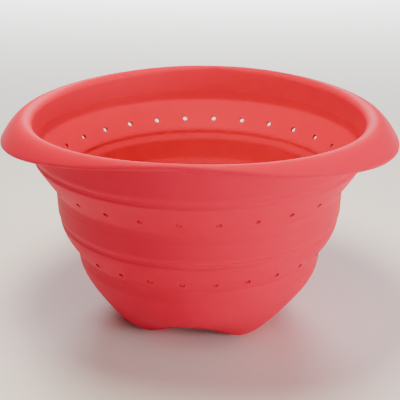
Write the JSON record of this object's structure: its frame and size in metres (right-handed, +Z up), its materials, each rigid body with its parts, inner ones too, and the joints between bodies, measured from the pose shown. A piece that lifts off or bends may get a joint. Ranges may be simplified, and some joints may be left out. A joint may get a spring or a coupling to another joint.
{
  "type": "collapsible colander",
  "caption": "Collapsible silicone colander: footed base, middle and rim walls joined by perforated ledges that fold inside out, with wing handles on the lip.",
  "frame": {"origin": "on the table under the middle of the bowl, at the height of the feet", "axes": "+Z up along the bowl's axis, +X towards the right wing, -Y towards the front of the picture"},
  "size_m": [0.2746, 0.2368, 0.1572],
  "materials": {
    "drain_floor_silicone": "satin silicone",
    "footed_base_silicone": "satin silicone",
    "base_collar_silicone": "satin silicone",
    "lower_ledge_bottom_hinge_silicone": "satin silicone",
    "lower_drain_ledge_silicone": "satin silicone",
    "lower_ledge_top_hinge_silicone": "satin silicone",
    "middle_wall_silicone": "satin silicone",
    "upper_ledge_bottom_hinge_silicone": "satin silicone",
    "upper_drain_ledge_silicone": "satin silicone",
    "upper_ledge_top_hinge_silicone": "satin silicone",
    "upper_wall_silicone": "satin silicone",
    "rim_lip_silicone": "satin silicone",
    "left_wing_silicone": "satin silicone",
    "right_wing_silicone": "satin silicone"
  },
  "bodies": {
    "base": {"drain_floor": "drain_floor_silicone", "footed_base": "footed_base_silicone", "base_collar": "base_collar_silicone", "lower_ledge_bottom_hinge": "lower_ledge_bottom_hinge_silicone"},
    "middle": {"lower_drain_ledge": "lower_drain_ledge_silicone", "lower_ledge_top_hinge": "lower_ledge_top_hinge_silicone", "middle_wall": "middle_wall_silicone", "upper_ledge_bottom_hinge": "upper_ledge_bottom_hinge_silicone"},
    "rim": {"upper_drain_ledge": "upper_drain_ledge_silicone", "upper_ledge_top_hinge": "upper_ledge_top_hinge_silicone", "upper_wall": "upper_wall_silicone", "rim_lip": "rim_lip_silicone", "left_wing": "left_wing_silicone", "right_wing": "right_wing_silicone"}
  },
  "joints": [
    {"name": "lower_fold", "type": "slide", "parent": "base", "child": "middle", "axis": [0, 0, 1], "range_m": [-0.0432, 0], "deforming": ["lower_drain_ledge"]},
    {"name": "upper_fold", "type": "slide", "parent": "middle", "child": "rim", "axis": [0, 0, 1], "range_m": [-0.045, 0], "deforming": ["upper_drain_ledge"]}
  ]
}
